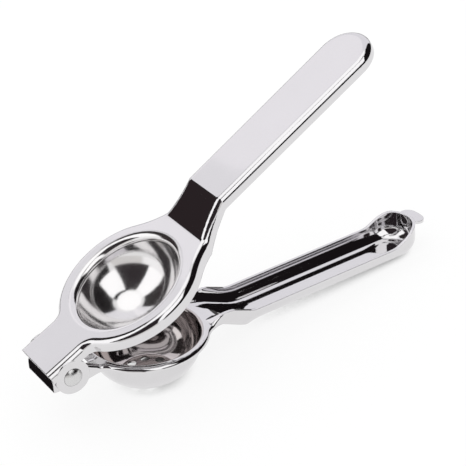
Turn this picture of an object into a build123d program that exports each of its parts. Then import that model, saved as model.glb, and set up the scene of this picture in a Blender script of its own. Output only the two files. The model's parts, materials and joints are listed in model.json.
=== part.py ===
"""Citrus press juicer: two hinged stainless levers, a pressing cup and a strainer bowl.

Each lever has a plane of its own: the hinge axis is its origin, X runs along the handle
and Z is up as the lever lies when the press is shut.  The lower lever stands on the table
on its bowl and on the end of its handle, and the upper lever is swung open at the hinge.
The origin is on the table, under the middle of the whole press.
"""

from math import asin, atan2, cos, hypot, radians, sin, sqrt, tan
import os

from build123d import *

os.makedirs("parts", exist_ok=True)

# ---- driving dimensions, millimetres and degrees ----
open_angle = 27.0
sheet = 1.5
cup_sheet = 1.0

upper_centre = 47.8
upper_radius = 36.5
upper_waist = 44.0
upper_roll = 3.5
upper_top = 9.7
tang_skirt = 5.2
upper_skirt = 7.6
upper_handle_skirt = 6.0
upper_tang_end = -8.3
upper_tang_width = 30.0
upper_ramp = (84.6, 102.8)
upper_rise = 9.4
upper_slope = 3.5
upper_length = 209.0
upper_width = 29.2
upper_tip_width = 30.6
cup_opening = 29.8
cup_roll = 3.6
cup_depth = 23.0

lower_centre = 45.6
lower_radius = 31.2
lower_waist = 14.0
lower_roll = 2.0
lower_rim = -1.2
lower_ramp = (79.0, 99.0)
lower_slope = 2.6
lower_length = 202.5
lower_width = 27.0
lower_tip_width = 27.4
flange_depth = 2.0
neck_end = -9.3
neck_top = 6.0
neck_flat = (-5.0, 0.5)  # the level stretch above the hinge
neck_nose = 0.3  # where the neck's end turns straight down
neck_foot = 15.5
neck_width = 25.6
neck_depth = 6.2
neck_bottom_end = 20.0
shoulder = (74.0, 82.0, 87.0)  # where the walls start to rise, and the flat of their crest
shoulder_top = 2.2
tray_top = -2.4  # the handle walls' top at the foot of the ramp
tray_depth = 8.6
tray_roll = 8.0
scoop_start = 184.0
scoop_end = 197.0
scoop_top = 8.5
tongue_reach = 6.0
tongue_drop = 0.8
tongue_corner = 4.5
tongue_spread = 27.0  # half of the angle that the tongue takes of the round tip
bowl_opening = 28.2
bowl_roll = 1.5
bowl_depth = 22.0
bowl_floor_radius = 14.0
floor_corner = 3.0
drain_hole_radius = 2.2
drain_ring_radius = 9.6
drain_ring_holes = 8
drain_ring_start = 22.5

tang_waist = 6.0
bend_radius = 3.0
long_bend_radius = 28.0
wall_bend_radius = 10.0
ear_radius = 8.5
pin_radius = 2.8
pin_head_radius = 4.6
pin_head_height = 1.8
running_gap = 0.05
washer_radius = 6.5
bush_radius = 4.2

deep = 80.0  # how far a cutting form reaches past the sheet

# ---- where the press stands: on the bowl's corner and on the end of the lower handle ----
bowl_floor = lower_rim - bowl_depth
bowl_edge = bowl_opening - bowl_roll
bowl_inset = bowl_edge + cup_sheet - bowl_floor_radius
bowl_height = bowl_depth - bowl_roll
bowl_radius = (bowl_inset**2 + bowl_height**2) / (2 * bowl_inset)
corner_in = sqrt((bowl_radius - floor_corner) ** 2 - (bowl_height - floor_corner) ** 2)
corner_reach = bowl_edge + cup_sheet - bowl_radius + corner_in
bowl_corner = (lower_centre + corner_reach, bowl_floor + floor_corner)


def tray_line(x):
    """Height of the handle walls' top at x along the lower lever, short of the scoop."""
    return tray_top + (x - lower_ramp[1]) * tan(radians(lower_slope))


tip_corner_x = lower_length - tray_roll
tip_corner = (tip_corner_x, tray_line(tip_corner_x) - tray_depth + tray_roll)
apart = hypot(tip_corner[0] - bowl_corner[0], tip_corner[1] - bowl_corner[1])
stand_turn = atan2(tip_corner[1] - bowl_corner[1], tip_corner[0] - bowl_corner[0])
stand_turn += asin((floor_corner - tray_roll) / apart)
hinge_height = (
    floor_corner + bowl_corner[0] * sin(stand_turn) - bowl_corner[1] * cos(stand_turn)
)
open_turn = radians(open_angle) - stand_turn
back_end = upper_tang_end * cos(open_turn) - upper_top * sin(open_turn)
tongue_tip = (lower_length + tongue_reach, scoop_top - tongue_drop)
front_end = tongue_tip[0] * cos(stand_turn) + tongue_tip[1] * sin(stand_turn)
hinge = Vector(-(back_end + front_end) / 2, 0, hinge_height)


def lever_plane(turn):
    """The plane of a lever whose handle climbs by turn, in radians."""
    return Plane(
        origin=hinge,
        x_dir=(cos(turn), 0, sin(turn)),
        z_dir=(-sin(turn), 0, cos(turn)),
    )


def side_of(lever):
    """The upright middle plane of a lever, X along the handle and Y up."""
    return Plane(origin=lever.origin, x_dir=lever.x_dir, z_dir=-lever.y_dir)


upper = lever_plane(open_turn)
lower = lever_plane(-stand_turn)
upper_side = side_of(upper)
lower_side = side_of(lower)


def lever_plan(plane, head, tang, handle, waist, inset=0.0):
    """Plan of a lever: a tang, a round head and a handle that widens to its round tip.

    The head is (centre, radius), the tang (end, width) and the handle (length, width at
    its root, width at its tip), and waist is the hollow curve between head and handle.
    """
    centre, radius = head
    end, width = tang
    length, root_width, tip_width = handle
    with BuildSketch(plane) as plan:
        with Locations((centre, 0)):
            Circle(root_width / 2 - inset)
        with Locations((length - tip_width / 2, 0)):
            Circle(tip_width / 2 - inset)
        make_hull()
        with Locations((centre, 0)):
            Circle(radius - inset)
        with Locations(((end + centre) / 2, 0)):
            Rectangle(centre - end, width - 2 * inset)
        corners = plan.vertices().filter_by_position(Axis.X, centre - radius, centre)
        fillet(corners, tang_waist + inset)
        corners = plan.vertices().filter_by_position(Axis.X, centre + radius / 2, centre + radius)
        fillet(corners, waist + inset)
    return plan.sketch


def side_section(plane, points, bends=(), radius=bend_radius):
    """A closed outline in a lever's middle plane, with the bends among its corners rounded."""
    with BuildSketch(plane) as section:
        with BuildLine():
            Polyline(*points, close=True)
        make_face()
        for bend in bends:
            fillet(section.vertices().sort_by_distance(bend)[0], radius)
    return section.sketch


def inner_line(points):
    """An outline's own inner face: the line one sheet to its right, corners kept sharp."""
    turns = [atan2(b[1] - a[1], b[0] - a[0]) for a, b in zip(points, points[1:])]
    moved = []
    for point, before, after in zip(points, turns[:1] + turns, turns + turns[-1:]):
        lean = (before + after) / 2
        reach = sheet / cos((after - before) / 2)
        moved.append((point[0] + reach * sin(lean), point[1] - reach * cos(lean)))
    return tuple(moved)


def rounded_block(lever, plan, section, roll, past=-deep, under=False):
    """What plan and section share, with the edges round its top, or its underside, rolled.

    Edges that lie no further along the lever than past stay sharp.
    """
    facing = -lever.z_dir if under else lever.z_dir
    with BuildPart() as block:
        extrude(plan, amount=deep, both=True)
        extrude(section, amount=deep, both=True, mode=Mode.INTERSECT)
        faces = block.faces().filter_by(lambda face: face.normal_at().dot(facing) > 0.5)
        middles = [edge.center() for edge in faces.edges()]
        rim = [
            edge
            for edge in faces.edges()
            if sum((edge.center() - middle).length < 1e-4 for middle in middles) == 1
            and (edge.center() - hinge).dot(lever.x_dir) > past + 0.01
        ]
        fillet(rim, roll)
    return block.part


# ---- upper lever: one pressing, a plate with a skirt all round and two ears ----
upper_end = upper_length + sheet
upper_foot = upper_top + upper_rise
upper_tip_top = upper_foot + (upper_end - upper_ramp[1]) * tan(radians(upper_slope))
upper_line = (
    (upper_tang_end, upper_top),
    (upper_ramp[0], upper_top),
    (upper_ramp[1], upper_foot),
    (upper_end, upper_tip_top),
)
skirt_line = (
    (upper_tang_end, upper_top - tang_skirt),
    (upper_ramp[0], upper_top - upper_skirt),
    (upper_ramp[1], upper_foot - upper_handle_skirt),
    (upper_end, upper_tip_top - upper_handle_skirt),
)
upper_inner = inner_line(upper_line)
upper_head = (upper_centre, upper_radius)
upper_handle = (upper_length, upper_width, upper_tip_width)
upper_body = rounded_block(
    upper,
    lever_plan(upper, upper_head, (-ear_radius, upper_tang_width), upper_handle, upper_waist),
    side_section(upper_side, upper_line + skirt_line[::-1], upper_line[1:3]),
    upper_roll,
    past=upper_tang_end,
)
upper_hollow = rounded_block(
    upper,
    lever_plan(upper, upper_head, (-deep, upper_tang_width), upper_handle, upper_waist, sheet),
    side_section(
        upper_side,
        ((-deep, upper_inner[0][1]),) + upper_inner[1:] + ((upper_end, -deep), (-deep, -deep)),
        upper_inner[1:3],
    ),
    upper_roll - sheet,
)
with BuildPart() as upper_lever:
    add(upper_body)
    with BuildSketch(upper_side):
        Circle(ear_radius)
    extrude(amount=upper_tang_width / 2, both=True)
    add(upper_hollow, mode=Mode.SUBTRACT)
    with BuildSketch(upper):
        with Locations((upper_centre, 0)):
            Circle(cup_opening)
    extrude(amount=deep, mode=Mode.SUBTRACT)
    with BuildSketch(upper_side):
        Circle(pin_radius + running_gap)
    extrude(amount=deep, both=True, mode=Mode.SUBTRACT)

upper_lever.part.label = "upper_lever"
export_step(upper_lever.part, "parts/upper_lever.step")

# ---- upper cup: a drawn dish with a rolled lip, welded into the upper lever's opening ----
def bulge_arc(start, end, radius):
    """An arc of a radius from start to end, bulging outwards and down: its three points."""
    chord = hypot(end[0] - start[0], end[1] - start[1])
    rise = radius - sqrt(radius**2 - chord**2 / 4)
    across = ((start[1] - end[1]) / chord, (end[0] - start[0]) / chord)
    middle = (
        (start[0] + end[0]) / 2 + rise * across[0],
        (start[1] + end[1]) / 2 + rise * across[1],
    )
    return start, middle, end


def lip_curve(opening, roll, drop):
    """A quarter turn of the lip, from the opening's edge down into the wall."""
    turn = roll - drop
    middle = turn * sqrt(0.5)
    return (
        (opening, -drop),
        (opening - middle, -roll + middle),
        (opening - turn, -roll),
    )


def head_axis(plane, centre, top):
    """The upright plane through a head's middle, its origin level with the plate's top."""
    side = side_of(plane)
    return Plane(
        origin=side.from_local_coords(Vector(centre, top)),
        x_dir=side.x_dir,
        z_dir=side.z_dir,
    )


def dish_arc(edge, lip, depth):
    """The arc of a dish whose rim is edge wide, from its middle, and lip below the plate."""
    height = depth - lip
    return bulge_arc((edge, -lip), (0, -depth), (edge**2 + height**2) / (2 * height))


cup_plane = head_axis(upper, upper_centre, upper_top)
cup_edge = cup_opening - cup_roll
with BuildPart() as upper_cup:
    with BuildSketch(cup_plane):
        with BuildLine():
            ThreePointArc(*lip_curve(cup_opening, cup_roll, 0))
            ThreePointArc(*dish_arc(cup_edge, cup_roll, cup_depth))
            Line((0, -cup_depth), (0, -cup_depth - cup_sheet))
            ThreePointArc(*dish_arc(cup_edge + cup_sheet, cup_roll, cup_depth + cup_sheet))
            ThreePointArc(*lip_curve(cup_opening, cup_roll, cup_sheet))
            Line((cup_opening, -cup_sheet), (cup_opening, 0))
        make_face()
    revolve(axis=Axis(cup_plane.origin, upper.z_dir))

upper_cup.part.label = "upper_cup"
export_step(upper_cup.part, "parts/upper_cup.step")

# ---- lower lever: a boxed neck, a plate round the bowl, a ramp down and a tray handle ----
lower_head = (lower_centre, lower_radius)
lower_handle = (lower_length, lower_width, lower_tip_width)
lower_end = lower_length + sheet
floor_foot = tray_top - tray_depth + sheet
floor_end = tray_line(lower_end) - tray_depth + sheet
lower_plan = lever_plan(lower, lower_head, (neck_end, neck_width), lower_handle, lower_waist)
lower_inside = lever_plan(
    lower, lower_head, (neck_end + sheet, neck_width), lower_handle, lower_waist, sheet
)
neck_line = (
    (neck_end, neck_nose),
    (neck_flat[0], neck_top),
    (neck_flat[1], neck_top),
    (neck_foot, lower_rim),
)
wall_top = (
    *neck_line,
    (shoulder[0], lower_rim),
    (shoulder[1], shoulder_top),
    (shoulder[2], shoulder_top),
    (lower_ramp[1], tray_top),
    (scoop_start, tray_line(scoop_start)),
    (scoop_end, scoop_top),
    (lower_end, scoop_top),
)
wall_bottom = (
    (neck_end, -neck_depth),
    (-neck_end / 2, -neck_depth),
    (neck_bottom_end, lower_rim - flange_depth),
    (lower_ramp[0] + flange_depth, lower_rim - flange_depth),
    (lower_ramp[1], tray_top - tray_depth),
    (lower_end, tray_line(lower_end) - tray_depth),
)
walls = side_section(
    lower_side,
    wall_top + wall_bottom[::-1],
    wall_top[len(neck_line) : -1],
    wall_bend_radius,
)

# the neck's and the head's edge is rolled over, and the roll runs out above the walls
roll_top = scoop_top + 2 * lower_roll
roll_line = (*neck_line, (shoulder[0], lower_rim), (lower_ramp[1], roll_top))
head_form = rounded_block(
    lower,
    lower_plan,
    side_section(
        lower_side,
        (
            (-deep, -deep),
            (-deep, neck_nose - deep),
            *roll_line,
            (lower_end, roll_top),
            (lower_end, -deep),
        ),
        roll_line[1:-2],
    ),
    lower_roll,
)
# the tray's bottom edge is rolled under, and the roll dips out below the head
tray_form = rounded_block(
    lower,
    lower_plan,
    side_section(
        lower_side,
        (
            (-deep, deep),
            (-deep, -deep / 2),
            (lower_centre, -deep / 2),
            wall_bottom[-2],
            wall_bottom[-1],
            (lower_end, deep),
        ),
        ((lower_centre, -deep / 2), wall_bottom[-2]),
        long_bend_radius,
    ),
    tray_roll,
    under=True,
)
# the hollow under the neck and head, closed by the plate and by the back of the ramp
under_slope = (floor_foot - lower_rim) / (lower_ramp[1] - lower_ramp[0])
under_line = inner_line(
    (
        *neck_line,
        (lower_ramp[0], lower_rim),
        (lower_end, lower_rim + under_slope * (lower_end - lower_ramp[0])),
    )
)
under_head = rounded_block(
    lower,
    lower_inside,
    side_section(
        lower_side,
        ((-deep, under_line[0][1] - deep), *under_line, (lower_end, -2 * deep), (-deep, -2 * deep)),
        under_line[1:-1],
    ),
    lower_roll - sheet,
)
# the channel of the handle, open above, from the ramp's crest to the round tip
tray_hollow = rounded_block(
    lower,
    lower_inside,
    side_section(
        lower_side,
        (
            (-deep, deep),
            (-deep, lower_rim),
            (lower_ramp[0], lower_rim),
            (lower_ramp[1], floor_foot),
            (lower_end, floor_end),
            (lower_end, deep),
        ),
        ((lower_ramp[0], lower_rim), (lower_ramp[1], floor_foot)),
        long_bend_radius,
    ),
    tray_roll - sheet,
    under=True,
)
# the tongue: the tip's wall flared out flat, with round corners
tip_radius = lower_tip_width / 2
tongue_edge = tip_radius + tongue_reach
tongue_axis = Axis(head_axis(lower, lower_length - tip_radius, scoop_top).origin, lower.z_dir)
tongue_start = lower.x_dir.rotate(Axis((0, 0, 0), lower.z_dir), -tongue_spread)
with BuildPart() as tongue:
    with BuildSketch(Plane(tongue_axis.position, tongue_start, tongue_start.cross(lower.z_dir))):
        with BuildLine():
            Polyline(
                (tip_radius - sheet, 0),
                (tongue_edge, -tongue_drop),
                (tongue_edge, -tongue_drop - sheet),
                (tip_radius - sheet, -sheet),
                close=True,
            )
        make_face()
    revolve(axis=tongue_axis, revolution_arc=2 * tongue_spread)
    corners = tongue.edges().filter_by(lambda edge: edge.length < 1.01 * sheet)
    fillet(corners.sort_by(Axis(lower.origin, lower.x_dir))[-2:], tongue_corner)
with BuildPart() as lower_lever:
    add(head_form)
    add(tray_form, mode=Mode.INTERSECT)
    extrude(walls, amount=deep, both=True, mode=Mode.INTERSECT)
    add(under_head, mode=Mode.SUBTRACT)
    add(tray_hollow, mode=Mode.SUBTRACT)
    with BuildSketch(lower):
        with Locations((lower_centre, 0)):
            Circle(bowl_opening)
    extrude(amount=deep, both=True, mode=Mode.SUBTRACT)
    with BuildSketch(lower_side):
        Circle(pin_radius + running_gap)
    extrude(amount=deep, both=True, mode=Mode.SUBTRACT)
    add(tongue.part)

lower_lever.part.label = "lower_lever"
export_step(lower_lever.part, "parts/lower_lever.step")

# ---- lower bowl: a drawn strainer with a flat, drilled floor, welded into the lower lever ----
bowl_plane = head_axis(lower, lower_centre, lower_rim)


def wall_arc(edge, floor_edge, depth):
    """The arc of the bowl's wall, upright at the lip and meeting the flat floor."""
    inward = edge - floor_edge
    height = depth - bowl_roll
    return bulge_arc(
        (edge, -bowl_roll), (floor_edge, -depth), (inward**2 + height**2) / (2 * inward)
    )


inside = wall_arc(bowl_edge, bowl_floor_radius - cup_sheet, bowl_depth - cup_sheet)
outside = wall_arc(bowl_edge + cup_sheet, bowl_floor_radius, bowl_depth)
with BuildPart() as lower_bowl:
    with BuildSketch(bowl_plane):
        with BuildLine():
            ThreePointArc(*lip_curve(bowl_opening, bowl_roll, 0))
            ThreePointArc(*inside)
            Line(inside[2], (0, cup_sheet - bowl_depth))
            Line((0, cup_sheet - bowl_depth), (0, -bowl_depth))
            Line((0, -bowl_depth), outside[2])
            ThreePointArc(*outside)
            ThreePointArc(*lip_curve(bowl_opening, bowl_roll, cup_sheet))
            Line((bowl_opening, -cup_sheet), (bowl_opening, 0))
        make_face()
    revolve(axis=Axis(bowl_plane.origin, lower.z_dir))
    floor_faces = lower_bowl.faces().filter_by(GeomType.PLANE)
    floor_faces = floor_faces.sort_by(Axis(lower.origin, lower.z_dir))
    fillet(floor_faces[0].edges(), floor_corner)
    fillet(floor_faces[1].edges(), floor_corner - cup_sheet)
    with BuildSketch(lower.offset(bowl_floor)):
        with Locations((lower_centre, 0)):
            Circle(drain_hole_radius)
            with PolarLocations(drain_ring_radius, drain_ring_holes, drain_ring_start):
                Circle(drain_hole_radius)
    extrude(amount=2 * cup_sheet, both=True, mode=Mode.SUBTRACT)

lower_bowl.part.label = "lower_bowl"
export_step(lower_bowl.part, "parts/lower_bowl.step")

# ---- hinge rivet: a shank through all four ears, with a domed head at each end ----
shank_half = upper_tang_width / 2 + running_gap
dome_radius = (pin_head_radius**2 + pin_head_height**2) / (2 * pin_head_height)
dome_half = asin(pin_head_radius / dome_radius) / 2
dome_top = shank_half + pin_head_height
with BuildPart() as hinge_rivet:
    with BuildSketch(lower_side):
        Circle(pin_radius)
    extrude(amount=shank_half, both=True)
    with BuildSketch(Plane(hinge, x_dir=lower.x_dir, z_dir=lower.z_dir)):
        with BuildLine():
            Line((0, shank_half), (pin_head_radius, shank_half))
            ThreePointArc(
                (pin_head_radius, shank_half),
                (dome_radius * sin(dome_half), dome_top - dome_radius * (1 - cos(dome_half))),
                (0, dome_top),
            )
            Line((0, dome_top), (0, shank_half))
        make_face()
    revolve(axis=Axis(hinge, lower.y_dir))
    mirror(about=lower_side)

hinge_rivet.part.label = "hinge_rivet"
export_step(hinge_rivet.part, "parts/hinge_rivet.step")

# ---- hinge bush: a tube round the rivet that keeps the lower ears from being squeezed in ----
ear_gap = neck_width / 2 - sheet
with BuildPart() as hinge_bush:
    with BuildSketch(lower_side):
        Circle(bush_radius)
        Circle(pin_radius + running_gap, mode=Mode.SUBTRACT)
    extrude(amount=ear_gap, both=True)

hinge_bush.part.label = "hinge_bush"
export_step(hinge_bush.part, "parts/hinge_bush.step")

# ---- washers: one thin ring each side between the inner and the outer ear ----
washer_room = upper_tang_width / 2 - sheet - neck_width / 2
for name, side in (("washer_near", -1), ("washer_far", 1)):
    outer_face = side * (neck_width / 2 + washer_room - running_gap)
    with BuildPart() as washer:
        with BuildSketch(Plane(hinge + lower.y_dir * outer_face, lower.x_dir, lower.y_dir * side)):
            Circle(washer_radius)
            Circle(pin_radius + running_gap, mode=Mode.SUBTRACT)
        extrude(amount=-(washer_room - running_gap))
    washer.part.label = name
    export_step(washer.part, f"parts/{name}.step")
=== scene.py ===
"""The look of a hand citrus press: two polished steel levers, a cup, a strainer bowl, a rivet."""

import json
from math import cos, pi, radians, sin

import bpy
from mathutils import Matrix, Vector

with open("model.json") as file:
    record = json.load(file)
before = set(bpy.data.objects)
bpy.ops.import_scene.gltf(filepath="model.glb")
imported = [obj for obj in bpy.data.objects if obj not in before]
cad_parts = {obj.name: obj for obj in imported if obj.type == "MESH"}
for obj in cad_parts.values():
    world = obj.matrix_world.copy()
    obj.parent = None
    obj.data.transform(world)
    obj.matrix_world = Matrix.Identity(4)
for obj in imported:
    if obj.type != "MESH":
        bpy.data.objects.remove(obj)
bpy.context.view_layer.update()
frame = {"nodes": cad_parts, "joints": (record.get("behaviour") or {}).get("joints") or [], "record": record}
nodes = frame["nodes"]

# ---- upper lever ----
# One pressing of stainless sheet, mirror polished on a buffing wheel.  The plate keeps the
# faint pull of the buff along its length, and is a little brighter in the patches hands rub.
LEVER_COLOUR = (0.68, 0.67, 0.68, 1.0)
LEVER_RUBBED = (0.73, 0.72, 0.73, 1.0)
LEVER_ROUGHNESS = (0.025, 0.075)
LEVER_GRAIN = (0.15, 1.0, 1.0)
LEVER_DENTS = 0.00006
LEVER_DENT_SCALE = 30.0
STREAKS = {"Scale": 260.0, "Detail": 5.0, "Roughness": 0.65}
RUBBED_PATCHES = {"Scale": 34.0, "Detail": 3.0}
DENT_DETAIL = 1.5
EDGE_ROUND = 0.0004
EDGE_SAMPLES = 6
NOISE_MIDDLE = (0.3, 0.7)
# the colour sockets of a Mix node, which share their names with its other kinds of socket
MIX_FIRST, MIX_SECOND, MIX_RESULT = 6, 7, 2


def link(tree, source, output, target, socket):
    """Joins one node's output to another's input."""
    tree.links.new(source.outputs[output], target.inputs[socket])


def add_node(tree, kind, x, y, **settings):
    """Adds a shader node at a place in the tree, with its settings."""
    node = tree.nodes.new(kind)
    node.location = (x, y)
    for name, value in settings.items():
        if name in node.inputs:
            node.inputs[name].default_value = value
        else:
            setattr(node, name, value)
    return node


def spread(tree, x, y, source, output, source_range, target_range):
    """Maps one range of a node's output to another, and holds the end values beyond it."""
    mapped = add_node(tree, "ShaderNodeMapRange", x, y)
    mapped.inputs["From Min"].default_value, mapped.inputs["From Max"].default_value = source_range
    mapped.inputs["To Min"].default_value, mapped.inputs["To Max"].default_value = target_range
    link(tree, source, output, mapped, "Value")
    return mapped


def two_tone(tree, x, y, source, output, first, second):
    """Goes from one colour to another with a noise."""
    tone = add_node(tree, "ShaderNodeMix", x, y, data_type="RGBA")
    tone.inputs[MIX_FIRST].default_value = first
    tone.inputs[MIX_SECOND].default_value = second
    link(tree, source, output, tone, "Factor")
    return tone.outputs[MIX_RESULT]


def new_steel(name):
    """A metal material, its node tree and its shader."""
    material = bpy.data.materials.new(name)
    material.use_nodes = True
    shader = material.node_tree.nodes["Principled BSDF"]
    shader.inputs["Metallic"].default_value = 1.0
    return material, material.node_tree, shader


def polished_steel(name, colour, rubbed, roughness, grain, dents, dent_scale):
    """Polished stainless steel: buffing streaks, a soft unevenness and rubbed patches."""
    material, tree, shader = new_steel(name)
    place = add_node(tree, "ShaderNodeTexCoord", -1200, 0)
    stretch = add_node(tree, "ShaderNodeMapping", -1000, 0, Scale=grain)
    link(tree, place, "Object", stretch, "Vector")
    streaks = add_node(tree, "ShaderNodeTexNoise", -800, 0, **STREAKS)
    link(tree, stretch, "Vector", streaks, "Vector")
    shine = spread(tree, -500, 0, streaks, "Fac", NOISE_MIDDLE, roughness)
    link(tree, shine, "Result", shader, "Roughness")
    patches = add_node(tree, "ShaderNodeTexNoise", -800, -300, **RUBBED_PATCHES)
    link(tree, place, "Object", patches, "Vector")
    tint = two_tone(tree, -500, -300, patches, "Fac", colour, rubbed)
    tree.links.new(tint, shader.inputs["Base Color"])
    wave = add_node(
        tree, "ShaderNodeTexNoise", -800, -600, Scale=dent_scale, Detail=DENT_DETAIL
    )
    link(tree, place, "Object", wave, "Vector")
    bump = add_node(tree, "ShaderNodeBump", -300, -600, Strength=1.0, Distance=dents)
    link(tree, wave, "Fac", bump, "Height")
    edge = add_node(tree, "ShaderNodeBevel", -600, -800, samples=EDGE_SAMPLES, Radius=EDGE_ROUND)
    link(tree, edge, "Normal", bump, "Normal")
    link(tree, bump, "Normal", shader, "Normal")
    return material


def finish_node(node_name, material):
    """Gives a CAD node's object its material in every slot."""
    mesh = nodes[node_name].data
    mesh.materials.clear()
    mesh.materials.append(material)


lever_steel = polished_steel(
    "lever_steel", LEVER_COLOUR, LEVER_RUBBED, LEVER_ROUGHNESS, LEVER_GRAIN, LEVER_DENTS,
    LEVER_DENT_SCALE
)
finish_node("upper_lever", lever_steel)

# ---- upper cup ----
# A dish drawn from thinner stainless sheet and polished as it spins, so its marks run round
# and draw each reflection out across them.  Its rolled lip is welded into the lever's opening.
CUP_COLOUR = (0.735, 0.72, 0.725, 1.0)
CUP_RUBBED = (0.775, 0.765, 0.765, 1.0)
CUP_ROUGHNESS = (0.08, 0.17)
CUP_PULL = 0.35
CUP_REACH = 0.0478
CUP_RISE = 0.0097
RINGS = {"Scale": 2600.0, "Detail": 3.0}
RING_SHARE = 0.45
RING_DEPTH = 0.000004
RING_STRENGTH = 0.35
SMEARS = {"Scale": 70.0, "Detail": 4.0, "Distortion": 0.6}
HAZE = 0.022
HAZE_ROUGHNESS = 0.5
FLANGE_FACING = -0.001
HOLLOW_FACING = -0.006


def turned_rings(tree, arm, round_way, axis):
    """Fine rings: a noise that changes only with reach from the axis and height along it."""
    reach = add_node(tree, "ShaderNodeVectorMath", -1200, 100, operation="LENGTH")
    link(tree, round_way, "Vector", reach, 0)
    height = add_node(tree, "ShaderNodeVectorMath", -1200, 300, operation="DOT_PRODUCT")
    height.inputs[1].default_value = axis
    link(tree, arm, "Vector", height, 0)
    rings_at = add_node(tree, "ShaderNodeCombineXYZ", -1000, 200)
    link(tree, reach, "Value", rings_at, "X")
    link(tree, height, "Value", rings_at, "Y")
    rings = add_node(tree, "ShaderNodeTexNoise", -800, 200, **RINGS)
    link(tree, rings_at, "Vector", rings, "Vector")
    return rings


def ringed_shine(tree, rings, smear, roughness):
    """The roughness, from the rings and from the smears between them."""
    ringed = add_node(tree, "ShaderNodeMath", -600, 100, operation="MULTIPLY_ADD")
    ringed.inputs[1].default_value = RING_SHARE
    link(tree, rings, "Fac", ringed, 0)
    smeared = add_node(tree, "ShaderNodeMath", -600, -50, operation="MULTIPLY")
    smeared.inputs[1].default_value = 1 - RING_SHARE
    link(tree, smear, "Fac", smeared, 0)
    link(tree, smeared, "Value", ringed, 2)
    return spread(tree, -400, 0, ringed, "Value", NOISE_MIDDLE, roughness)


def hollow_tone_and_shade(tree, place, arm, smear, inner, inner_rubbed):
    """The lever's colour outside and on the flange, and another where the sheet is hollow: the cup's own
    tone in the cup, a darker painted shade in the bowl.
    """
    facing = add_node(tree, "ShaderNodeVectorMath", -800, -500, operation="DOT_PRODUCT")
    link(tree, place, "Normal", facing, 0)
    link(tree, arm, "Vector", facing, 1)
    hollow = spread(tree, -600, -500, facing, "Value", (FLANGE_FACING, HOLLOW_FACING), (0.0, 1.0))
    hollow_tint = add_node(tree, "ShaderNodeMix", -200, -400, data_type="RGBA")
    link(tree, hollow, "Result", hollow_tint, "Factor")
    outside = two_tone(tree, -400, -300, smear, "Fac", LEVER_COLOUR, LEVER_RUBBED)
    tree.links.new(outside, hollow_tint.inputs[MIX_FIRST])
    inside = two_tone(tree, -400, -500, smear, "Fac", inner, inner_rubbed)
    tree.links.new(inside, hollow_tint.inputs[MIX_SECOND])
    return hollow_tint.outputs[MIX_RESULT]


def spun_steel(name, centre, axis, roughness, pull, inner, inner_rubbed):
    """Stainless steel polished on a lathe: fine rings round the axis, a soft pull and a haze."""
    material, tree, shader = new_steel(name)
    shader.inputs["Anisotropic"].default_value = pull
    place = add_node(tree, "ShaderNodeTexCoord", -1800, 0)
    arm = add_node(tree, "ShaderNodeVectorMath", -1600, 0, operation="SUBTRACT")
    arm.inputs[1].default_value = centre
    link(tree, place, "Object", arm, 0)
    round_way = add_node(tree, "ShaderNodeVectorMath", -1400, -300, operation="CROSS_PRODUCT")
    round_way.inputs[1].default_value = axis
    link(tree, arm, "Vector", round_way, 0)
    pulled = add_node(
        tree, "ShaderNodeVectorTransform", -1200, -300, vector_type="VECTOR",
        convert_from="OBJECT", convert_to="WORLD"
    )
    link(tree, round_way, "Vector", pulled, "Vector")
    link(tree, pulled, "Vector", shader, "Tangent")
    rings = turned_rings(tree, arm, round_way, axis)
    smear = add_node(tree, "ShaderNodeTexNoise", -800, -50, **SMEARS)
    link(tree, place, "Object", smear, "Vector")
    link(tree, ringed_shine(tree, rings, smear, roughness), "Result", shader, "Roughness")
    # the hollow side's colour: the cup's own tone, and in the bowl a darker painted shade
    tint = hollow_tone_and_shade(tree, place, arm, smear, inner, inner_rubbed)
    tree.links.new(tint, shader.inputs["Base Color"])
    bump = add_node(
        tree, "ShaderNodeBump", -300, -600, Strength=RING_STRENGTH, Distance=RING_DEPTH
    )
    link(tree, rings, "Fac", bump, "Height")
    link(tree, bump, "Normal", shader, "Normal")
    haze = add_node(tree, "ShaderNodeBsdfAnisotropic", 300, -200, Roughness=HAZE_ROUGHNESS)
    tree.links.new(tint, haze.inputs["Color"])
    hazy = add_node(tree, "ShaderNodeMixShader", 500, 0, Fac=HAZE)
    link(tree, shader, "BSDF", hazy, 1)
    link(tree, haze, "BSDF", hazy, 2)
    link(tree, hazy, "Shader", tree.nodes["Material Output"], "Surface")
    return material


# the two levers lie along each other when the press is shut, at the hinge's lower limit
hinge_joint = frame["joints"][0]
hinge = Vector(hinge_joint["pos_m"])
open_angle = -hinge_joint["range_deg"][0]
lower_up = -Vector(frame["record"]["mounts"][0]["axis"])
lower_along = Vector((0, 1, 0)).cross(lower_up)
upper_turn = Matrix.Rotation(radians(open_angle), 3, Vector(hinge_joint["axis"]))
upper_up = upper_turn @ lower_up
upper_along = upper_turn @ lower_along
cup_centre = hinge + upper_along * CUP_REACH + upper_up * CUP_RISE
cup_steel = spun_steel(
    "cup_steel", cup_centre, upper_up, CUP_ROUGHNESS, CUP_PULL, CUP_COLOUR, CUP_RUBBED
)
finish_node("upper_cup", cup_steel)

# ---- lower lever ----
# The other pressing, of the same sheet and polish as the upper one.  Its boxed neck stands
# between the upper lever's ears at the hinge.
finish_node("lower_lever", lever_steel)

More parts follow.
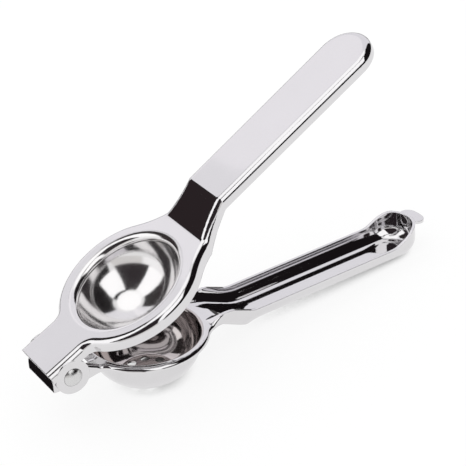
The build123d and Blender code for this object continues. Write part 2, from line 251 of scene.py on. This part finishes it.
# ---- lower bowl ----
# The strainer, drawn as the cup is, with its floor pierced after drawing, and welded into
# the lower lever.  Its inside is given a darker colour than the lever steel: painted shade
# for the dim, many-times mirrored light in the hollow.
# the colour of the bowl's inside, darker than its outside: painted shade
BOWL_PAINTED_SHADE = (0.50, 0.46, 0.455, 1.0)
BOWL_PAINTED_SHADE_RUBBED = (0.55, 0.51, 0.505, 1.0)
BOWL_ROUGHNESS = (0.05, 0.11)
BOWL_PULL = 0.2
BOWL_REACH = 0.0456
BOWL_DROP = 0.0012
bowl_centre = hinge + lower_along * BOWL_REACH - lower_up * BOWL_DROP
bowl_steel = spun_steel(
    "bowl_steel", bowl_centre, lower_up, BOWL_ROUGHNESS, BOWL_PULL, BOWL_PAINTED_SHADE, BOWL_PAINTED_SHADE_RUBBED
)
finish_node("lower_bowl", bowl_steel)

# ---- hinge rivet ----
# A turned stainless pin, its heads set under a rotary punch and left softly bright.  Turned
# steel has no grain along it and hardly any dents.
RIVET_COLOUR = (0.64, 0.64, 0.64, 1.0)
RIVET_RUBBED = (0.71, 0.70, 0.70, 1.0)
RIVET_ROUGHNESS = (0.20, 0.34)
TURNED_GRAIN = (1.0, 1.0, 1.0)
TURNED_DENTS = 0.00001
TURNED_DENT_SCALE = 120.0
rivet_steel = polished_steel(
    "rivet_steel", RIVET_COLOUR, RIVET_RUBBED, RIVET_ROUGHNESS, TURNED_GRAIN, TURNED_DENTS,
    TURNED_DENT_SCALE
)
finish_node("hinge_rivet", rivet_steel)

# ---- bush and washers ----
# Plain turned stainless, as it comes from the lathe: a tube that keeps the inner ears apart,
# and a thin ring on each side between two ears.
BUSH_COLOUR = (0.62, 0.62, 0.63, 1.0)
BUSH_RUBBED = (0.68, 0.68, 0.68, 1.0)
BUSH_ROUGHNESS = (0.22, 0.34)
bush_steel = polished_steel(
    "bush_steel", BUSH_COLOUR, BUSH_RUBBED, BUSH_ROUGHNESS, TURNED_GRAIN, TURNED_DENTS,
    TURNED_DENT_SCALE
)
for name in ("hinge_bush", "washer_near", "washer_far"):
    finish_node(name, bush_steel)

# ---- the table ----
# A white paper sheet under the press, large enough to fill the view.  It glows where it is
# seen or mirrored, with a painted shade in narrow gaps, and keeps the press's soft shadow.
TABLE_HALF = 3.0
TABLE_HEIGHT = -0.0004
TABLE_WHITE = (0.94, 0.94, 0.94, 1.0)
TABLE_GLOW = 1.03
GLOW_SHARE = 0.8
GAP_REACH = 0.012
GAP_SAMPLES = 8
GAP_DEEP = (0.0, 0.3)
GAP_SHADED_GLOW = (0.1, 1.0)
SHADE_GREY = (0.30, 0.29, 0.29, 1.0)
SHADE_RADIUS = 0.012
SHADE_HEIGHT = -0.0002
SHADE_SIDES = 24


def stage_sheet(name, mesh):
    """Stands a sheet in the scene."""
    sheet = bpy.data.objects.new(name, mesh)
    bpy.context.scene.collection.objects.link(sheet)
    return sheet


def matt_paper(name, colour):
    """Paper with no sheen."""
    material = bpy.data.materials.new(name)
    material.use_nodes = True
    shader = material.node_tree.nodes["Principled BSDF"]
    shader.inputs["Base Color"].default_value = colour
    shader.inputs["Roughness"].default_value = 1.0
    shader.inputs["Specular IOR Level"].default_value = 0.0
    return material


def flat_sheet(name, outline):
    """A sheet's mesh: one face with the outline's points as its corners."""
    mesh = bpy.data.meshes.new(name)
    mesh.from_pydata(outline, [], [tuple(range(len(outline)))])
    return mesh


def rectangle(left, right, front, back, height):
    """The outline of a level rectangle."""
    return [
        (left, front, height), (right, front, height), (right, back, height), (left, back, height)
    ]


def circle(centre, radius, sides):
    """The outline of a level circle."""
    turns = [2 * pi * side / sides for side in range(sides)]
    return [centre + radius * Vector((cos(turn), sin(turn), 0)) for turn in turns]


def glowing_table():
    """White paper that glows where the camera or a mirror looks at it, with painted shade in gaps."""
    material = matt_paper("table_white", TABLE_WHITE)
    tree = material.node_tree
    seen = add_node(tree, "ShaderNodeLightPath", -600, 300)
    mirrored = add_node(tree, "ShaderNodeMath", -400, 300, operation="MAXIMUM")
    link(tree, seen, "Is Camera Ray", mirrored, 0)
    link(tree, seen, "Is Glossy Ray", mirrored, 1)
    passed = add_node(tree, "ShaderNodeMath", -200, 300, operation="MAXIMUM")
    link(tree, mirrored, "Value", passed, 0)
    link(tree, seen, "Is Transmission Ray", passed, 1)
    share = add_node(tree, "ShaderNodeMath", 0, 300, operation="MULTIPLY")
    share.inputs[1].default_value = GLOW_SHARE
    link(tree, passed, "Value", share, 0)
    # painted shade: the glow is darkened where the press closes in over the table
    gap = add_node(
        tree, "ShaderNodeAmbientOcclusion", -400, 0, samples=GAP_SAMPLES, Distance=GAP_REACH
    )
    painted_gap_shade = spread(tree, -200, 0, gap, "AO", GAP_DEEP, GAP_SHADED_GLOW)
    glow = add_node(tree, "ShaderNodeEmission", 0, 100, Strength=TABLE_GLOW)
    link(tree, painted_gap_shade, "Result", glow, "Color")
    blend = add_node(tree, "ShaderNodeMixShader", 200, 200)
    link(tree, share, "Value", blend, 0)
    link(tree, tree.nodes["Principled BSDF"], "BSDF", blend, 1)
    link(tree, glow, "Emission", blend, 2)
    link(tree, blend, "Shader", tree.nodes["Material Output"], "Surface")
    return material


table_mesh = flat_sheet(
    "table", rectangle(-TABLE_HALF, TABLE_HALF, -TABLE_HALF, TABLE_HALF, TABLE_HEIGHT)
)
table_mesh.materials.append(glowing_table())
stage_sheet("table", table_mesh)

# the table under the bowl's flat floor is in shade, which the drain holes show
shade_centre = Vector(frame["record"]["mounts"][0]["pos_m"])
shade_centre.z = SHADE_HEIGHT
shade_mesh = flat_sheet("table_shade", circle(shade_centre, SHADE_RADIUS, SHADE_SIDES))
shade_mesh.materials.append(matt_paper("table_shade", SHADE_GREY))
stage_sheet("table_shade", shade_mesh)

# ---- the studio ----
# A white tent of light with dark boards standing in it, which the steel mirrors.  Each board
# is placed by the turn and the climb at which the press sees it, and throws no shadow.
BOARD_DISTANCE = 6.0
BOARD_STEPS = 10
BOARD_CENTRE = Vector((0, 0, 0.05))
BLACK = (0.010, 0.008, 0.009, 1.0)
SOFT_BLACK = (0.030, 0.024, 0.027, 1.0)
WARM_BLACK = (0.030, 0.022, 0.024, 1.0)
CHARCOAL = (0.03, 0.026, 0.026, 1.0)
DARK_GREY = (0.08, 0.075, 0.075, 1.0)
BEIGE = (0.80, 0.785, 0.77, 1.0)
WHITE = (1.0, 1.0, 1.0, 1.0)
COOL_WHITE = (0.96, 0.95, 0.99, 1.0)
BRIGHT_WHITE = (0.96, 0.945, 0.975, 1.0)
END_WHITE = (0.96, 0.95, 0.98, 1.0)
SOFTBOX = 1.33
CEILING_CENTRE = BOARD_DISTANCE * Vector((-0.086, 0.050, 1.0))
CEILING_RADIUS = BOARD_DISTANCE * 0.40
CEILING_SIDES = 60
CARD_LEFT, CARD_RIGHT = -0.060, -0.022
CARD_FRONT, CARD_BACK = 0.018, 0.080
CARD_HEIGHT = 0.001


def toward(turn, climb):
    """The direction that lies so many degrees round from +X and so many degrees up."""
    turn, climb = radians(turn), radians(climb)
    return Vector((cos(climb) * cos(turn), cos(climb) * sin(turn), sin(climb)))


def stage_card(name, mesh, colour, strength=1.0):
    """A black, pale or lit card that shows only in the steel, and not to the camera."""
    material = bpy.data.materials.new(name)
    material.use_nodes = True
    tree = material.node_tree
    tree.nodes.clear()
    glow = add_node(tree, "ShaderNodeEmission", 0, 0, Color=colour, Strength=strength)
    out = add_node(tree, "ShaderNodeOutputMaterial", 200, 0)
    link(tree, glow, "Emission", out, "Surface")
    mesh.materials.append(material)
    card = stage_sheet(name, mesh)
    card.visible_camera = False
    card.visible_shadow = False
    card.visible_diffuse = False


def board(name, corners, colour, strength=1.0):
    """A board seen from the press between four corners, each (turn, climb) in degrees.

    The corners run low left, low right, high right, high left.
    """
    low_left, low_right, high_right, high_left = (Vector(corner) for corner in corners)
    verts = []
    for row in range(BOARD_STEPS + 1):
        left = low_left.lerp(high_left, row / BOARD_STEPS)
        right = low_right.lerp(high_right, row / BOARD_STEPS)
        for column in range(BOARD_STEPS + 1):
            turn, climb = left.lerp(right, column / BOARD_STEPS)
            verts.append(BOARD_CENTRE + BOARD_DISTANCE * toward(turn, climb))
    width = BOARD_STEPS + 1
    faces = [
        (row * width + c, row * width + c + 1, (row + 1) * width + c + 1, (row + 1) * width + c)
        for row in range(BOARD_STEPS)
        for c in range(BOARD_STEPS)
    ]
    mesh = bpy.data.meshes.new(name)
    mesh.from_pydata(verts, [], faces)
    stage_card(name, mesh, colour, strength)


def upright(left, right, low, high):
    """The four corners of a board whose sides stand upright."""
    return (left, low), (right, low), (right, high), (left, high)


board("camera_board", ((184, 12), (256, 15), (240, 68), (194, 63)), SOFT_BLACK)
board("right_board", upright(302, 378, -1, 30), BLACK)
board("right_board_middle", ((302, 30), (378, 30), (378, 48), (305, 48)), BLACK)
board("right_board_top", ((305, 48), (378, 48), (378, 66), (317, 66)), BLACK)
board("ramp_board", upright(112, 146, -4, 30), WARM_BLACK)
board("grey_board", upright(110, 148, 30, 58), CHARCOAL)
board("far_sheet", upright(18, 82, 7, 66), COOL_WHITE)
board("far_sheet_bright", upright(82, 98, 7, 66), BRIGHT_WHITE, strength=1.13)
board("far_sheet_end", upright(98, 110, 7, 66), END_WHITE, strength=1.02)
board("low_board", upright(18, 112, -1.5, 7), DARK_GREY)
board("front_sheet", ((200, -1), (264, -1), (256, 15), (200, 12.7)), BEIGE)
board("left_sheet", ((150, -1), (196, -1), (196, 12.5), (150, 13)), WHITE, strength=1.15)
board("left_softbox", ((149, 13), (184, 13), (194, 63), (149, 62)), WHITE, SOFTBOX)
board("front_softbox", ((257, 20), (302, 30), (305, 48), (247, 48)), WHITE, SOFTBOX)
board("front_softbox_top", ((247, 48), (305, 48), (317, 66), (242, 66)), WHITE, SOFTBOX)
board("front_gap", ((242, 66), (317, 66), (321, 74), (240, 69)), BLACK)
board("front_low_board", ((268, 2), (302, 2), (302, 30), (268, 23)), BLACK)

# the ceiling light is round and hangs a little to the left
ceiling = flat_sheet("ceiling_softbox", circle(CEILING_CENTRE, CEILING_RADIUS, CEILING_SIDES))
stage_card("ceiling_softbox", ceiling, WHITE, SOFTBOX)

# a small black card lies on the table behind the hinge and darkens the neck's end
card_outline = rectangle(
    hinge.x + CARD_LEFT, hinge.x + CARD_RIGHT, CARD_FRONT, CARD_BACK, CARD_HEIGHT
)
stage_card("hinge_card", flat_sheet("hinge_card", card_outline), BLACK)

# the room round the boards is plain white light
world = bpy.data.worlds.new("studio")
bpy.context.scene.world = world
world.use_nodes = True
sky = world.node_tree.nodes["Background"]
sky.inputs["Color"].default_value = WHITE
sky.inputs["Strength"].default_value = 1.0

# ---- the camera ----
# A long lens in front of the press, to its left and above it, held a little tilted.  It
# looks at a point in the press's middle plane.  The lens and its sensor are in millimetres.
CAMERA_AIM = Vector((0.00256, 0.0, 0.05297))
CAMERA_DISTANCE = 0.82948
CAMERA_TURN = -116.933
CAMERA_CLIMB = 32.987
CAMERA_TILT = -10.485
CAMERA_LENS = 134.86
SENSOR_WIDTH = 36.0
camera_data = bpy.data.cameras.new("camera")
camera_data.sensor_width = SENSOR_WIDTH
camera_data.lens = CAMERA_LENS
camera = bpy.data.objects.new("camera", camera_data)
bpy.context.scene.collection.objects.link(camera)
back = toward(CAMERA_TURN, CAMERA_CLIMB)
level = Vector((0, 0, 1)).cross(back).normalized()
right = Matrix.Rotation(radians(CAMERA_TILT), 3, back) @ level
camera.matrix_world = Matrix.Translation(CAMERA_AIM + CAMERA_DISTANCE * back) @ Matrix(
    (right, back.cross(right), back)
).transposed().to_4x4()
bpy.context.scene.camera = camera
bpy.context.scene.view_settings.view_transform = "Standard"
